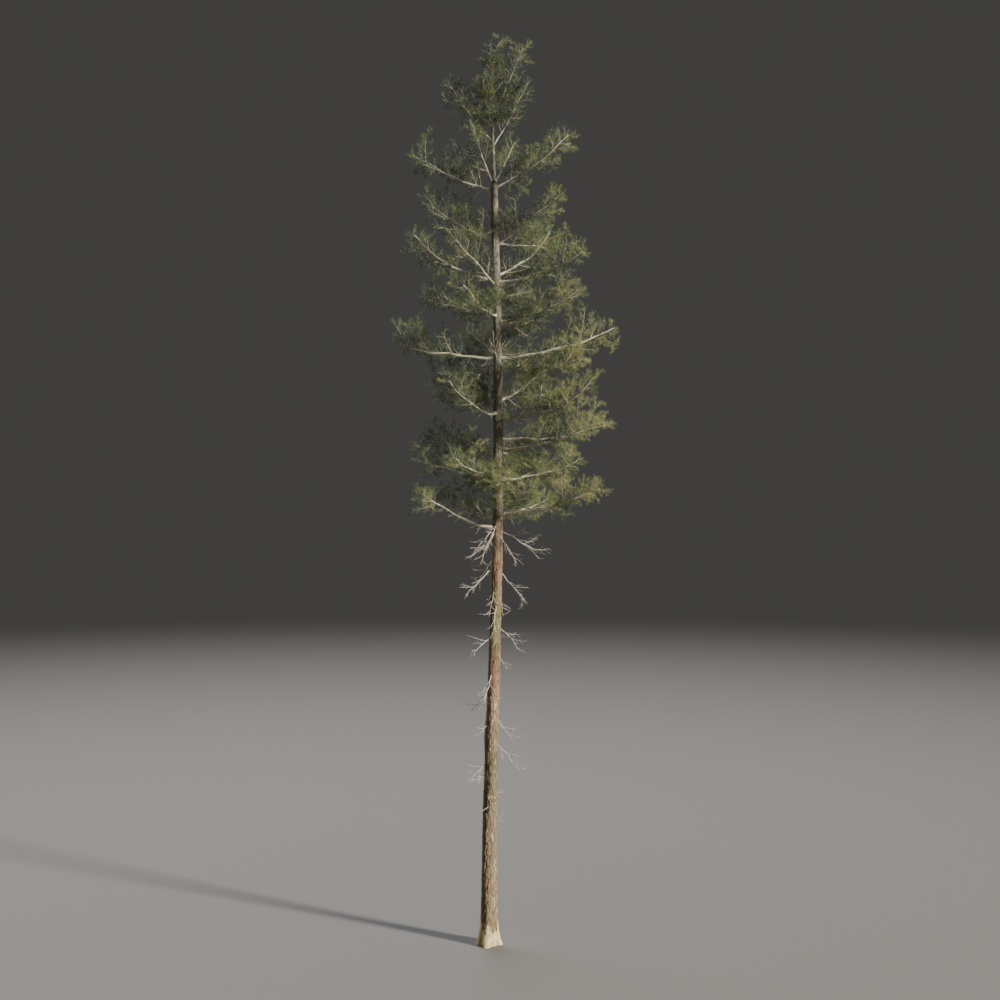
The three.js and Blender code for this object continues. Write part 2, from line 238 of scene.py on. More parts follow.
# How much algae there is at a height, as a grey: more where the bark stays damp.
ALGAE_BANDS = [
    (1.5, "#2c2c2c"), (4.6, "#343434"), (5.1, "#a0a0a0"), (5.7, "#242424"), (7.5, "#303030"),
    (8.3, "#c8c8c8"), (9.4, "#c8c8c8"), (10.0, "#262626"),
]
BAND_STRAY = 2.4  # metres that the bands' edges wander up and down
FLAKE_SIZE = 53  # mm
FLAKE_FRAY = (0.09, 0.09, 0.16)  # how far the shake moves the place that flakes are read at
# The bark's noises: [width of what they show in mm, detail, roughness, along the grain].
BARK_NOISES = {
    "blotch": (450, 4, 0.6, False),  # where one band's colour runs into the next
    "shake": (110, 5, 0.65, False),
    "grain": (26, 6, 0.62, True),  # far coarser than real cork, so that it shows
    "tongue": (67, 5, 0.65, True),
    "algae": (320, 7, 0.7, True),
    "lichen": (90, 8, 0.75, False),
}


def scatter(low, high, a, b):
    """Even numbers from low to high that are the same on every run: the part after the point
    of 43758.5453 times the sine of 12.9898 a + 78.233 b, stretched over the range. One of a
    and b is a seed, and the other counts."""
    value = np.sin(np.asarray(a) * 12.9898 + np.asarray(b) * 78.233) * 43758.5453
    return low + (high - low) * (value - np.floor(value))


def smoothstep(value, low, high):
    """0 below low, 1 above high, and 3 t^2 - 2 t^3 between them."""
    t = np.clip((value - low) / (high - low), 0, 1)
    return t * t * (3 - 2 * t)


def stem_radius(z):
    """The old stem's even taper, swollen by the square of the depth below the butt's top,
    and blended into the leader's own taper round the old top."""
    butt = BUTT_SWELL * np.maximum(0, 1 - z / BUTT_HEIGHT) ** 2
    old = STEM_RADIUS - STEM_TAPER * z + butt
    leader = LEADER_RADIUS - LEADER_TAPER * (z - OLD_TOP)
    return old + (leader - old) * smoothstep(z, *SHOULDER)


def stem_centre(z):
    """The stem's middle at a height: a drift to the east that partly returns, and one slow
    wave to the north and south that widens with height."""
    z = np.asarray(z, float)
    east = sum(far * smoothstep(z, low, high) for far, low, high in EAST_DRIFTS)
    north = NORTH_WAVE * np.sin(2 * np.pi * z / TRUNK_TOP) * z / TRUNK_TOP
    return np.stack([east, north, z], -1)


def angle_from(heading, degrees):
    """The angle between headings in radians and one in degrees, from 0 to pi."""
    return np.arccos(np.clip(np.cos(heading - np.radians(degrees)), -1, 1))


def on_ridge(heading):
    """1 on the crest of a root ridge and 0 beyond its sides, along a quarter of a sine, so
    that its back is round and the groove beside it is sharp."""
    away = np.min([angle_from(heading, ridge) for ridge in RIDGE_HEADINGS], axis=0)
    return np.sin(np.pi / 2 * np.maximum(0, 1 - away / np.radians(RIDGE_SPREAD)))


def flare(z, heading):
    """How far the foot stands out: the skirt and the ridges, fading upwards as a power of the
    height left. The ridges sway a little as they climb, by the sine of 5 z + 2 h, and between
    them, where a ridge is less than half up, the grooves are cut in."""
    fading = np.maximum(0, 1 - z / FLARE_HEIGHT) ** FLARE_FADING
    ridge = on_ridge(heading + RIDGE_SWAY * np.sin(5 * z + 2 * heading) * z / FLARE_HEIGHT)
    groove = GROOVE_DEPTH * np.maximum(0, 1 - 2 * ridge)
    return fading * (FLARE_SKIRT + FLARE_RIDGE * ridge) - np.sqrt(fading) * groove


def stem_noise(turns, z, around, tall, seed):
    """Smooth noise from -1 to 1 in cells that close round the stem, so many round it and each
    so tall: a number at each corner, blended across the cell by smoothstep both ways."""
    across, up = turns * around, z / tall
    column, row = np.floor(across), np.floor(up)
    blend_across = smoothstep(across - column, 0, 1)
    blend_up = smoothstep(up - row, 0, 1)

    def corner(right, above):
        return scatter(-1, 1, (column + right) % around + around * (row + above + 2), seed)
    below = corner(0, 0) + (corner(1, 0) - corner(0, 0)) * blend_across
    beyond = corner(0, 1) + (corner(1, 1) - corner(0, 1)) * blend_across
    return below + (beyond - below) * blend_up


def plate_cells(across, up, around):
    """Bark plates as the cells nearest to the jittered middles of a grid that closes round
    the stem. Gives each point its plate's number, and how much farther the second nearest
    middle is than the nearest, which is 0 in the furrows."""
    column, row = np.floor(across), np.floor(up)
    nearest = np.full(across.shape, 9.0)
    second = nearest.copy()
    number = np.zeros(across.shape)
    for step_across in (-1, 0, 1):
        for step_up in (-1, 0, 1):
            cell_column, cell_row = column + step_across, row + step_up
            cell = cell_column % around + around * (cell_row + 2)
            middle_across = cell_column + scatter(*PLATE_JITTER[0], cell, 3)
            middle_up = cell_row + scatter(*PLATE_JITTER[1], cell, 4)
            away = np.hypot(across - middle_across, up - middle_up)
            closer = away < nearest
            second = np.where(closer, nearest, np.minimum(second, away))
            number = np.where(closer, cell, number)
            nearest = np.minimum(nearest, away)
    return number, second - nearest


def knots(z, heading):
    """Old limb scars: each a rounded swelling, e to the minus square of the distance over its
    width, with a dimple a third as wide in its middle."""
    swelling = np.zeros(np.broadcast(z, heading).shape)
    stray_up, stray_round = KNOT_STRAY
    for i, height in enumerate(KNOT_WHORLS):
        for k in range(KNOTS_IN_WHORL):
            knot_height = height + scatter(-stray_up, stray_up, i, k)
            turn = 360 / KNOTS_IN_WHORL * k + scatter(-stray_round, stray_round, i, k + 9)
            around = angle_from(heading, turn) * stem_radius(z)
            away = np.hypot(around, z - knot_height) / KNOT_WIDTH
            swelling += KNOT_OUT * (np.exp(-away ** 2) - KNOT_DIMPLE * np.exp(-(3 * away) ** 2))
    return swelling


def trunk_surface(z, heading):
    """The bark's surface over height and heading: the stem and its flare, with furrows sunk
    between long plates whose outlines wander, each plate lifted a little of its own, the
    knots, the burl, and swells by the sines of 3 h + 1.1 z and 5 h - 2.3 z. Also gives how
    deep in a furrow each point is, and its plate's own tone."""
    turns = heading / (2 * np.pi)
    stray = sum(share * stem_noise(turns, z, *cells) for share, *cells in STRAY_NOISES)
    number, edge = plate_cells(turns * PLATES_AROUND + PLATE_STRAY[0] * stray,
                               z / PLATE_HEIGHT + PLATE_STRAY[1] * stray, PLATES_AROUND)
    start, end, ragged = FURROW_SIDE
    furrow = 1 - smoothstep(edge, start, end + ragged * stray)
    at_foot, at_top = FURROW_DEPTH
    depth = at_top + (at_foot - at_top) * np.maximum(0, 1 - z / DEPTH_FADES[0]) ** DEPTH_FADES[1]
    depth = depth * (1 - FOOT_WEAR[0] * np.maximum(0, 1 - z / FOOT_WEAR[1]))
    lift = (scatter(-PLATE_LIFT, PLATE_LIFT, number, 6) * (1 - furrow)
            + FLAKE_LIFT * stem_noise(turns, z, *FLAKE_NOISE))
    swell = STEM_SWELLS * stem_radius(z) * (
        np.sin(3 * heading + 1.1 * z) + np.sin(5 * heading - 2.3 * z))
    burl_around = angle_from(heading, BURL["heading"]) * stem_radius(z)
    burl = BURL["out"] * np.exp(-((z - BURL["height"]) / BURL["tall"]) ** 2
                                - (burl_around / BURL["wide"]) ** 2)
    radius = (stem_radius(z) + flare(z, heading) + swell + burl + knots(z, heading)
              + depth * (lift + PLATE_PROUD - furrow))
    out = np.stack([np.cos(heading), np.sin(heading), np.zeros_like(heading)], -1)
    return stem_centre(z) + radius[..., None] * out, furrow, scatter(0, 1, number, 5)


def closed_tube(rings, sides):
    """The triangles of a tube of points, ring by ring: two for each cell between the rings,
    and a fan over each end, round two middle points that come after the rings' own."""
    lower = np.arange((rings - 1) * sides).reshape(rings - 1, sides)
    beside = np.roll(lower, -1, axis=1)
    a, b, c, d = (corner.ravel() for corner in (lower, beside, beside + sides, lower + sides))
    first = np.arange(sides)
    after = np.roll(first, -1)
    last, foot = (rings - 1) * sides, np.full(sides, rings * sides)
    return np.concatenate([np.stack(corners, -1) for corners in [
        (a, b, c), (a, c, d), (after, first, foot), (last + first, last + after, foot + 1)]])


def per_metre(millimetres):
    """A pattern's scale from the real size of one of its cells: 1000 over that size."""
    return 1000 / millimetres


climb = np.linspace(0, 1, TRUNK_RINGS + 1)
early = FIRST_RING_STEP * TRUNK_RINGS / TRUNK_TOP
ring_heights = TRUNK_TOP * (early * climb + (1 - early) * climb ** 2)
ring_headings = np.arange(TRUNK_SIDES) / TRUNK_SIDES * 2 * np.pi
trunk_z, trunk_heading = np.meshgrid(ring_heights, ring_headings, indexing="ij")
trunk_points, trunk_furrow, trunk_tone = trunk_surface(trunk_z, trunk_heading)
worn_to = WORN_HEIGHT[0] + WORN_HEIGHT[1] * on_ridge(trunk_heading)
trunk_foot = np.maximum(0, 1 - trunk_z / worn_to)
# The cut underneath and the top are closed round a middle point each.
ends = stem_centre(np.array([0, TRUNK_TOP]))
trunk_points = np.concatenate([trunk_points.reshape(-1, 3), ends])

# Pine bark is dead cork in flaking layers: dry and matt, warm tan to grey on the plates,
# darker in the furrows and cracks, partly as painted shade, with green algae and pale lichen
# in patches.
bark_finish, tree, shader = start_material(
    "pine_bark_plates", Roughness=0.88, IOR=1.45, Specular_IOR_Level=0.25)
place = add_node(tree, "TexCoord").outputs["Object"]
height = add_node(tree, "SeparateXYZ", {0: place}).outputs["Z"]
# Grain runs up the stem, so its patterns are stretched along it.
along = add_node(tree, "Mapping", {"Vector": place, "Scale": (1, 1, 0.25)})
noise = {
    name: add_node(tree, "TexNoise", {
        "Vector": along if grained else place, "Scale": per_metre(size), "Detail": detail,
        "Roughness": roughness})
    for name, (size, detail, roughness, grained) in BARK_NOISES.items()}
# The flakes are 4 to 6 cm wide, a little taller, and ragged, so the place they are read at is
# shaken by a noise.
shaken = add_node(tree, "VectorMath", {
    0: noise["shake"].outputs["Color"], 1: FLAKE_FRAY, 2: place}, operation="MULTIPLY_ADD")
flake_place = add_node(tree, "Mapping", {"Vector": shaken, "Scale": (1, 1, 0.42)})
flakes, flake_edges = (
    add_node(tree, "TexVoronoi", {"Vector": flake_place, "Scale": per_metre(FLAKE_SIZE)},
             feature=feature)
    for feature in ("F1", "DISTANCE_TO_EDGE"))
# The noise is one half on average, so half of the stray is taken off again.
wavering = add_node(tree, "Math", {
    0: noise["blotch"], 1: BAND_STRAY, 2: height}, operation="MULTIPLY_ADD")
level = add_node(tree, "MapRange", {
    "Value": wavering, "From Min": BAND_STRAY / 2, "From Max": TRUNK_TOP + BAND_STRAY / 2})
plate_colour, furrow_and_shade_colour, algae_share = (
    add_node(tree, "ValToRGB", {"Fac": level}, [(band[0] / TRUNK_TOP, band[k]) for band in bands])
    for bands, k in [(BARK_BANDS, 1), (BARK_BANDS, 2), (ALGAE_BANDS, 1)])
furrow, foot, tone = (
    add_node(tree, "Attribute", attribute_name=name).outputs["Fac"]
    for name in ("furrow", "foot", "tone"))
# Painted shade darkens the cracks round the flakes. The furrows are darkened too, more where
# the grain is open: partly their own darker bark, partly painted shade.
crack_shade = add_node(tree, "MapRange", {
    "Value": flake_edges, "From Max": 0.11, "To Min": 0.55, "To Max": 0})
open_grain_and_furrow_shade = add_node(tree, "Math", {0: furrow, 1: noise["grain"]}, operation="MULTIPLY")
dark = add_node(tree, "Math", {0: open_grain_and_furrow_shade, 1: 0.95, 2: crack_shade}, operation="MULTIPLY_ADD")
darker_bark_and_shade = add_node(tree, "MapRange", {
    "Value": dark, "From Min": 0.04, "From Max": 0.85, "To Max": 0.9})
# A colour mix takes its colours at 6 and 7 and gives its own at 2.
# The darker colour goes into the furrows, partly as painted shade, and into the cracks between
# the flakes as painted shade.
colour, foot_colour = (
    add_node(tree, "Mix", {"Factor": darker_bark_and_shade, 6: plate, 7: gap}, data_type="RGBA").outputs[2]
    for plate, gap in [(plate_colour, furrow_and_shade_colour), (linear(FOOT_PLATE), linear(FOOT_FURROW_AND_SHADE))])
# The pale foot ends in ragged tongues, because the bark has worn off it along its grain.
worn = add_node(tree, "Math", {0: noise["tongue"], 1: foot}, operation="ADD")
on_foot = add_node(tree, "MapRange", {"Value": worn, "From Min": 0.60, "From Max": 0.68})
damp = add_node(tree, "Math", {0: noise["algae"], 1: algae_share}, operation="MULTIPLY")
algae = add_node(tree, "MapRange", {
    "Value": damp, "From Min": 0.1, "From Max": 0.42, "To Max": 0.62})
lichen = add_node(tree, "MapRange", {
    "Value": noise["lichen"], "From Min": 0.56, "From Max": 0.68, "To Max": 0.55})
for share, cover in [(on_foot, foot_colour), (algae, linear(ALGAE_COLOUR)),
                     (lichen, linear(LICHEN_COLOUR))]:
    colour = add_node(
        tree, "Mix", {"Factor": share, 6: colour, 7: cover}, data_type="RGBA").outputs[2]
# Each plate is a little lighter or darker than the next, and its grain shows as streaks.
streaks = add_node(tree, "MapRange", {
    "Value": noise["grain"], "From Min": 0.3, "From Max": 0.7, "To Min": 0.78, "To Max": 1.16})
both_tones = add_node(tree, "Math", {0: flakes.outputs["Color"], 1: tone}, operation="ADD")
plate_tone = add_node(tree, "MapRange", {
    "Value": both_tones, "From Max": 2, "To Min": 0.8, "To Max": 1.18})
shade = add_node(tree, "Math", {0: streaks, 1: plate_tone}, operation="MULTIPLY")
shaded = add_node(tree, "VectorMath", {0: colour, "Scale": shade}, operation="SCALE")
dome = add_node(tree, "MapRange", {
    "Value": flake_edges, "From Max": 0.2}, interpolation_type="SMOOTHSTEP")
relief = add_node(tree, "Math", {0: noise["grain"], 1: 0.8, 2: dome}, operation="MULTIPLY_ADD")
bump = add_node(tree, "Bump", {"Height": relief, "Strength": 0.8, "Distance": 0.008})
connect(shader, {"Base Color": shaded, "Normal": bump})

trunk = add_mesh(
    "trunk_bark", trunk_points, closed_tube(TRUNK_RINGS + 1, TRUNK_SIDES), bark_finish,
    furrow=np.append(trunk_furrow, [1, 0]), tone=np.append(trunk_tone, [0.5, 0.5]),
    foot=np.append(trunk_foot, [1, 0]))
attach(trunk, "root")
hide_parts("trunk")

# ------------------------ Boughs
# The live limbs leave the trunk in whorls, one for each year, bare at first and then clad to
# the tip. They are pine wood under thin scaly bark, each grown out of the trunk through a
# thick collar.
START = 0.02  # limbs begin just off the trunk's middle, inside it
LIMB_SIDES = 12
LIMB_RINGS = 52
RING_CROWDING = 1.15  # above 1, so that rings stand closer near the trunk
LIMB_GIRTH = (0.009, 0.0115)  # its radius at the trunk, and what each metre of reach adds
LIMB_TAPER = 0.7
MAIN_GIRTH = 1.15  # times that of a lesser limb of its reach
LIMB_SWEEP = 9  # degrees to either side, at most
LIMB_KINK = 0.011  # how far a limb strays from its sweep, for each metre of its reach
KINK_GROWS = 0.3  # over this share of its reach
LIMB_WAVES = (9, 23, 8, 21)  # radians over its reach: slow and fast aside, slow and fast up
LIMB_LUMPS = 0.07
LIMB_SWELLS = (0.05, 40)  # of its radius, and radians for each metre
COLLAR_SWELL = 0.45
COLLAR_LENGTH = 0.07
LIMB_COLOURS = [(0.34, "#8f8a78"), (0.62, "#dcd8c6"), (0.47, "#bcb29c")]  # dark, pale, warm
PATCH_SIZE = 140  # mm, as are the other pattern sizes below
SCALE_SIZE = 14  # coarser than real bark scales, so that they show
WINDS = ["east", "northeast", "north", "northwest", "west", "southwest", "south", "southeast"]

# Each whorl is its height and its limbs, [heading, reach, pitch at the trunk, pitch at the
# tip, share of the reach that is bare, height above the whorl]. A main bough has "bough".
WHORLS = {
    "a": (11.75, [
        (345, 2.85, -3, 31, 0.44, 0.13, "bough"), (197, 2.25, 6, 38, 0.76, -0.27, "bough"),
        (299, 1.65, 28, 33, 0.35, -0.05), (152, 2.1, 4, 22, 0.25, 0),
        (52, 2.4, 0, 22, 0.2, 0.1)]),
    "b": (12.9, [
        (10, 2.2, -2, 26, 0.38, -0.07, "bough"), (172, 2.3, -2, 24, 0.25, 0.03),
        (222, 1.9, 0, 30, 0.3, 0), (78, 2.5, -8, 24, 0.25, 0), (280, 1.6, -4, 22, 0.25, -0.25)]),
    "c": (13.8, [
        (335, 2.55, -6, 28, 0.4, -0.13, "bough"), (14, 3.1, -2, 17, 0.4, 0.12),
        (150, 2.25, -6, 18, 0.25, -0.1), (52, 2.2, -12, 2, 0.2, -0.2)]),
    "d": (14.75, [
        (330, 2.9, -22, 39, 0.38, -0.09, "bough"), (54, 2.2, 16, 32, 0.2, 0.2),
        (238, 2.0, -14, 46, 0.38, -0.09, "bough"), (155, 2.05, 2, 12, 0.2, 0.12)]),
    "e": (16.15, [
        (350, 3.2, 0, 28, 0.3, 0, "bough"), (325, 3.0, -15, 14, 0.3, -0.17),
        (178, 2.8, 0, 17, 0.3, 0, "bough"), (142, 2.3, -12, 0, 0.25, -0.12),
        (98, 2.7, 4, 28, 0.25, 0.1)]),
    "f": (17.3, [
        (352, 2.3, 4, 36, 0.25, -0.24), (172, 2.1, 2, 24, 0.3, 0.1),
        (246, 2.0, 2, 30, 0.25, 0), (66, 2.1, -8, 16, 0.2, -0.05)]),
    "g": (18.3, [
        (350, 2.45, 0, 32, 0.35, -0.05, "bough"), (42, 2.4, 18, 45, 0.25, 0.12),
        (176, 2.3, 2, 46, 0.4, 0.02, "bough"), (226, 1.8, 34, 26, 0.25, -0.17),
        (74, 2.2, -14, 2, 0.2, -0.05)]),
    "h": (19.3, [
        (344, 1.8, 34, 38, 0.25, -0.08), (168, 2.05, 26, 34, 0.25, 0.04),
        (24, 1.75, 2, 2, 0.2, 0)]),
    "i": (20.85, [
        (350, 2.05, 20, 46, 0.25, -0.02), (173, 2.25, 16, 31, 0.3, -0.1),
        (208, 0.75, 62, 68, 0.15, 0.05), (40, 0.8, 54, 62, 0.15, 0.1)]),
    "j": (22.1, [
        (165, 1.3, 48, 58, 0.25, 0), (335, 1.05, 52, 62, 0.15, -0.1),
        (15, 0.9, 62, 69, 0.15, 0.75), (235, 0.5, 62, 72, 0.1, 0.4)]),
}
# The leader's own shoot grows on from the trunk's top and leans east.
LEADER_LENGTH = 0.66
LEADER_LEAN = 0.30
LEADER_REACH = 0.6  # it is as thick and bears as much as a limb of this reach, and this girth
LEADER_GIRTH = 0.7


def limb_line(height, heading, reach, pitches, sweep, seed, kink=LIMB_KINK):
    """A limb's centre line over shares of its reach. It leaves the trunk's middle on its
    heading, its slope changes evenly from its first pitch to its last, it sweeps to one side,
    and two sine waves aside and two up, the fast ones half as tall, make it stray a little."""
    start = stem_centre(height)
    first, last = np.tan(np.radians(pitches))
    shifts = scatter(0, 6.28, seed, np.arange(4))

    def line(share):
        share = np.asarray(share, float)
        bearing = np.radians(heading + sweep * share)
        out = reach * share
        grown = kink * reach * smoothstep(share, 0, KINK_GROWS)
        slow_aside, fast_aside, slow_up, fast_up = (
            grown * np.sin(wave * share + shift) for wave, shift in zip(LIMB_WAVES, shifts))
        aside = slow_aside + 0.5 * fast_aside
        rise = reach * (first * share + (last - first) * share ** 2 / 2)
        east = np.cos(bearing) * out - np.sin(bearing) * aside
        north = np.sin(bearing) * out + np.cos(bearing) * aside
        return start + np.stack([east, north, rise + slow_up + 0.5 * fast_up], -1)
    return line


def leader_line(share):
    """The leader's shoot: straight up from the trunk's top, leaning east as the square."""
    share = np.asarray(share, float)
    lean = LEADER_LEAN * share ** 2
    return stem_centre(TRUNK_TOP) + np.stack([lean, 0 * share, LEADER_LENGTH * share], -1)


def limb_radius(limb, share):
    """A limb's radius falls evenly along its reach, and a longer limb is thicker."""
    thin, thicker = LIMB_GIRTH
    return limb["girth"] * (thin + thicker * limb["reach"]) * (1 - LIMB_TAPER * share)


def square_to(along):
    """Two directions square to each of an array of them: level, and as near upright as it
    can be. Where the first points straight up, the level one points north."""
    across = np.cross((0, 0, 1), along)
    upright = np.linalg.norm(across, axis=-1, keepdims=True) < 1e-3
    across = np.where(upright, (0, 1, 0), across)
    across = across / np.linalg.norm(across, axis=-1, keepdims=True)
    return across, np.cross(along, across)


def tubes(points, radii, sides):
    """Skins of tapering rods. points[rod, ring] are the middles and radii[rod, ring] the
    radii: each ring is a circle square to its rod, the last one is drawn in to a point, and
    a fan closes the foot. radii may also give each side its own, as radii[rod, ring, side]."""
    rods, rings = points.shape[:2]
    along = np.gradient(points, axis=1)
    along /= np.linalg.norm(along, axis=-1, keepdims=True)
    across, top = square_to(along)
    turn = np.arange(sides) / sides * 2 * np.pi - np.pi / 2
    spoke = (np.cos(turn)[:, None] * across[:, :, None]
             + np.sin(turn)[:, None] * top[:, :, None])
    if radii.ndim == 2:
        radii = radii[:, :, None]
    skin = points[:, :-1, None] + spoke[:, :-1] * radii[:, :-1, :, None]
    skin = np.concatenate([skin.reshape(rods, -1, 3), points[:, :1], points[:, -1:]], axis=1)
    faces = closed_tube(rings - 1, sides) + (np.arange(rods) * skin.shape[1])[:, None, None]
    return skin.reshape(-1, 3), faces.reshape(-1, 3)


def join(skins):
    """Several (points, triangles) as one."""
    counts = np.cumsum([0] + [len(points) for points, _ in skins])
    return (np.concatenate([points for points, _ in skins]),
            np.concatenate([faces + count for (_, faces), count in zip(skins, counts)]))


def limb_skin(limb):
    """A limb's bark: its taper, with a collar that swells where it leaves the trunk and dies
    away outwards as e to the minus distance, and lumps all along it."""
    share = START + (1 - START) * np.linspace(0, 1, LIMB_RINGS) ** RING_CROWDING
    outside = limb["reach"] * share - stem_radius(limb["height"])
    radius = limb_radius(limb, share)
    radius = radius * (1 + COLLAR_SWELL * np.exp(-np.maximum(0, outside) / COLLAR_LENGTH))
    ring, spoke = np.meshgrid(np.arange(LIMB_RINGS), np.arange(LIMB_SIDES), indexing="ij")
    swell, wave = LIMB_SWELLS
    lumps = (scatter(-LIMB_LUMPS, LIMB_LUMPS, ring + limb["seed"], spoke)
             + swell * np.sin(share * wave * limb["reach"] + limb["seed"])[:, None])
    return tubes(limb["line"](share)[None], (radius[:, None] * (1 + lumps))[None], LIMB_SIDES)


limbs = []
for letter, (whorl_height, rows) in WHORLS.items():
    for i, (heading, reach, first, last, bare, above, *kind) in enumerate(rows):
        height = whorl_height + above
        seed = ord(letter) * 17 + i * 131
        sweep = scatter(-LIMB_SWEEP, LIMB_SWEEP, ord(letter), i)
        limbs.append({
            "name": f"{letter}_{WINDS[round(heading / 45) % 8]}", "main": bool(kind),
            "line": limb_line(height, heading, reach, (first, last), sweep, seed),
            "height": height, "reach": reach, "girth": MAIN_GIRTH if kind else 1, "bare": bare,
            "seed": seed,
        })
limbs.append({
    "name": "leader", "main": False, "line": leader_line, "height": TRUNK_TOP,
    "reach": LEADER_REACH, "girth": LEADER_GIRTH, "bare": 0, "seed": 7,
})

# Young pine bark is thin and papery: pale grey-tan scales with a dull sheen, in darker and
# warmer patches.
limb_finish, tree, shader = start_material(
    "scaly_limb_bark", Roughness=0.8, IOR=1.45, Specular_IOR_Level=0.3)
place = add_node(tree, "TexCoord").outputs["Object"]
patches = add_node(tree, "TexNoise", {
    "Vector": place, "Scale": per_metre(PATCH_SIZE), "Detail": 6, "Roughness": 0.7})
scales = add_node(tree, "TexVoronoi", {"Vector": place, "Scale": per_metre(SCALE_SIZE)})
patch_colour = add_node(tree, "ValToRGB", {"Fac": patches}, LIMB_COLOURS)
scale_shade = add_node(tree, "MapRange", {
    "Value": scales, "From Max": 0.8, "To Min": 1.12, "To Max": 0.72})
shaded = add_node(tree, "VectorMath", {0: patch_colour, "Scale": scale_shade}, operation="SCALE")
bump = add_node(tree, "Bump", {"Height": scales, "Strength": 0.5, "Distance": 0.003}, invert=True)
connect(shader, {"Base Color": shaded, "Normal": bump})

boughs = add_mesh("bough_bark", *join([limb_skin(limb) for limb in limbs]), limb_finish)
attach(boughs, "root")
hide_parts(*[f"bough_{limb['name']}" for limb in limbs if limb["main"]])

# ------------------------ Dead limbs
# Below the crown the shaded limbs have died, lost their bark and weathered to grey wood.
# They hang from the trunk, snapped short, with fans of brittle twigs left on them. Shorter
# ones are left on the bare part of the live limbs as well.
DEAD_GIRTH = 0.8
DEAD_KINK = 0.024
DEAD_SWEEP = 8
DEAD_BARE = 0.25
DEAD_RINGS = 16
DEAD_SIDES = 8
# The five long ones: [name, height, heading, reach, pitches].
DEAD_LIMBS = [
    ("high_east", 11.45, 350, 1.25, (-30, -24)), ("high_west", 11.55, 195, 0.75, (-40, -54)),
    ("middle_west", 10.45, 190, 0.95, (-38, -46)), ("low_south", 7.55, 248, 1.0, (-34, -44)),
    ("low_southeast", 5.65, 330, 0.85, (-38, -48)),
]
# And the short ones: [height, heading, reach, pitches].
DEAD_STUBS = [
    (11.32, 208, 0.88, (-30, -42)), (10.35, 20, 0.95, (-42, -52)), (10.0, 236, 0.45, (-60, -70)),
    (9.45, 262, 0.8, (-36, -66)), (8.47, 205, 0.8, (-22, -34)), (8.85, 28, 0.82, (-36, -52)),
    (8.1, 318, 0.42, (-40, -58)), (6.37, 340, 0.58, (-48, -56)), (6.15, 212, 0.5, (-30, -40)),
    (5.12, 196, 0.72, (-36, -48)), (4.72, 190, 0.55, (-16, -26)), (3.36, 352, 0.36, (10, 4)),
    (10.8, 118, 0.9, (-34, -50)), (9.6, 64, 0.7, (-30, -52)), (7.1, 132, 0.85, (-36, -48)),
    (6.4, 86, 0.6, (-42, -50)), (4.3, 60, 0.5, (-30, -44)), (3.9, 262, 0.34, (-20, -30)),
    (15.98, 244, 0.42, (54, 70)), (14.35, 300, 0.5, (-26, -34)),
    (11.5, 224, 0.8, (-46, -58)), (11.62, 243, 0.66, (-30, -52)), (11.34, 316, 0.7, (-42, -58)),
]
TWIGS_PER_METRE = 3.7
TWIG_LENGTH = 0.6  # on a limb of one metre's reach
TWIG_GROWTH = 0.62  # the power of the reach that it grows with
TWIG_SPLIT = (46, 72)  # degrees between a twig and its limb
TWIG_ROLL = (-65, 80)  # degrees that a twig is turned up out of the level
TWIG_SIZES = (0.8, 1.15)  # what twigs' lengths are times, each by its own draw
TWIG_FADES = (1.12, 0.6)  # and times this at the trunk, and what that loses to the limb's tip
TWIG_LOOSE = 0.6  # of the gap to the next twig, by which one may be moved on
TWIG_CURL = 0.18
TWIG_GIRTH = 0.5  # of its limb's or twig's
FIRST_TWIG = 0.04  # past the bare part of a limb
LAST_TWIG = 0.93
DEAD_TWIGS = {"size": 1.1, "more": 1.9, "splits": (22, 46)}  # against those of a live limb
DEAD_TWIG_RADIUS = 0.0056
DEAD_FORK_RADIUS = 0.0036
# Finer twigs on twigs: [how many on each, where along it, degrees off it, shares of its length].
DEAD_FORKS = (5, (0.2, 0.95), (18, 42), (0.3, 0.65))
SNAG_FORKS = (3, (0.3, 0.95), (35, 60), (0.3, 0.6))
FORK_ROLL = 80
FORK_LOOSE = 0.9
FORK_FADES = (1.1, 0.5)
FORK_TAPER = 0.6  # of its radius, from the first fork on a twig to the last
FORK_CURL = (-0.1, 0.3)
FINEST_RADIUS = 0.0022
SNAG_BARE = 0.15  # of its reach: a limb that is bare for more than this bears snags
SNAG_PITCH = 0.16  # between the dead twigs left on a live limb
SNAG_CLEAR = 0.1  # of the trunk's bark
SNAG_LOOSE = 0.8
SNAG_LENGTH = (0.18, 0.5)
SNAG_SPLIT = (40, 75)
SNAG_SIDE = (-200, 20)  # degrees round the limb, so that most of them hang
SNAG_CURL = (-0.3, 0.2)
SNAG_RADIUS = 0.0045
CHECK_SIZE = 22  # coarser than real checks, so that they show
DEAD_COLOURS = [(0.32, "#948b7d"), (0.68, "#e2dbcc"), (0.5, "#c1b8a7")]  # checks, pale, grey


def direction_at(line, share):
    """The direction of a line at an array of shares, from a short step across each."""
    step = line(share + 0.01) - line(share - 0.01)
    return step / np.linalg.norm(step, axis=-1, keepdims=True)


def length_between(line, start, end):
    """The length of a line between two shares, in eight chords."""
    stops = line(np.linspace(start, end, 9))
    return np.linalg.norm(np.diff(stops, axis=0), axis=-1).sum()


def turned_off(along, split, around):
    """Directions that stand off others by a split angle, along their cosine and aside by its
    sine, at an angle round them from level towards upright. All angles are in radians."""
    across, top = square_to(along)
    aside = across * np.cos(around)[..., None] + top * np.sin(around)[..., None]
    return along * np.cos(split)[..., None] + aside * np.sin(split)[..., None]


def twig_set(start, direction, length, **rest):
    """A set of twigs as arrays with a row for each. A number that all of them share is
    repeated."""
    rest = {name: np.broadcast_to(value, len(length)) for name, value in rest.items()}
    return {"start": start, "direction": direction, "length": length, **rest}


